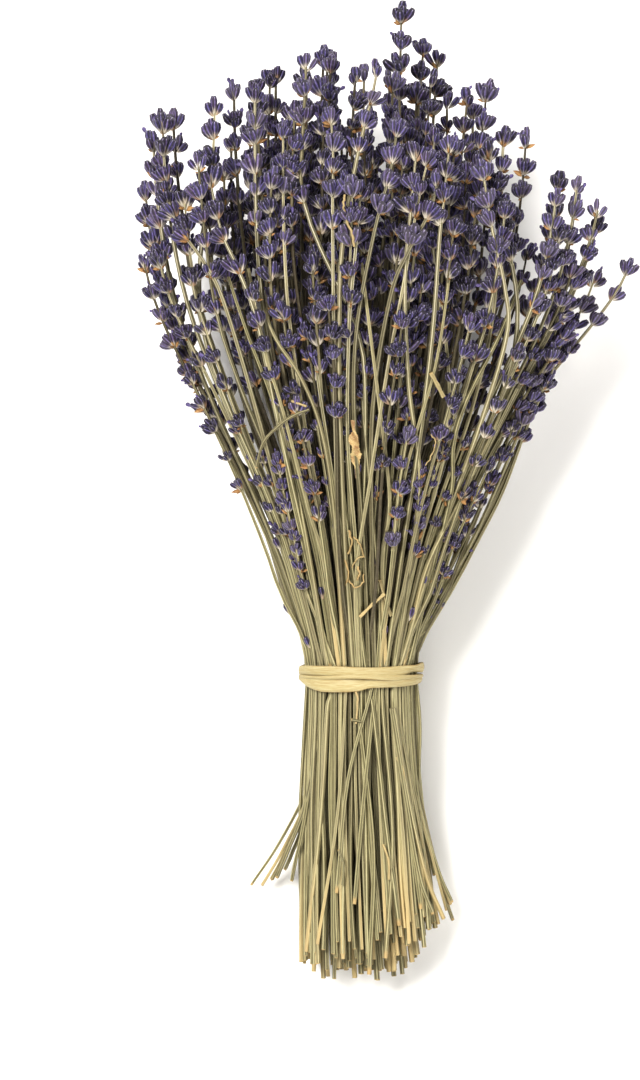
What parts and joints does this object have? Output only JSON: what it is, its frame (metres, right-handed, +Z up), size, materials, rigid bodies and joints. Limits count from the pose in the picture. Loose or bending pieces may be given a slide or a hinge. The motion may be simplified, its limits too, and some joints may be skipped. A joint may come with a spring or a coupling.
{
  "type": "bunch of dried lavender",
  "caption": "Bunch of dried lavender lying down: straw stems held by a flat tie, spreading as a fan to violet flower spikes",
  "frame": {"origin": "Middle of the bottom of the bunch's box, on the surface that it lies on", "axes": "+Z up. +Y along the bunch, from the cut ends to the flower heads. +X to the right when seen from above with the heads away"},
  "size_m": [0.1842, 0.3584, 0.1113],
  "materials": {
    "stem": "dry straw-olive, ridged, matte",
    "flower": "dry violet-blue with greyish tips, matte and slightly downy",
    "tie": "flat cream raffia, faintly fibrous",
    "leaf": "dry ochre, papery"
  },
  "bodies": {
    "root": {"dried_leaf": "leaf", "spikes_fourth_01": "flower", "spikes_fourth_02": "flower", "spikes_fourth_03": "flower", "spikes_fourth_04": "flower", "spikes_fourth_05": "flower", "spikes_fourth_06": "flower", "spikes_inner_01": "flower", "spikes_inner_02": "flower", "spikes_outer_01": "flower", "spikes_outer_02": "flower", "spikes_outer_03": "flower", "spikes_outer_04": "flower", "spikes_outer_05": "flower", "spikes_outer_06": "flower", "spikes_outer_07": "flower", "spikes_outer_08": "flower", "spikes_outer_09": "flower", "spikes_outer_10": "flower", "spikes_outer_11": "flower", "spikes_outer_12": "flower", "spikes_outer_13": "flower", "spikes_outer_14": "flower", "spikes_outer_15": "flower", "spikes_second_01": "flower", "spikes_second_02": "flower", "spikes_second_03": "flower", "spikes_second_04": "flower", "spikes_second_05": "flower", "spikes_second_06": "flower", "spikes_second_07": "flower", "spikes_second_08": "flower", "spikes_second_09": "flower", "spikes_second_10": "flower", "spikes_second_11": "flower", "spikes_second_12": "flower", "spikes_third_01": "flower", "spikes_third_02": "flower", "spikes_third_03": "flower", "spikes_third_04": "flower", "spikes_third_05": "flower", "spikes_third_06": "flower", "spikes_third_07": "flower", "spikes_third_08": "flower", "spikes_third_09": "flower", "stems_fourth_1": "stem", "stems_fourth_2": "stem", "stems_inner_1": "stem", "stems_outer_1": "stem", "stems_outer_2": "stem", "stems_outer_3": "stem", "stems_outer_4": "stem", "stems_second_1": "stem", "stems_second_2": "stem", "stems_second_3": "stem", "stems_third_1": "stem", "stems_third_2": "stem", "tie": "tie"}
  },
  "joints": []
}
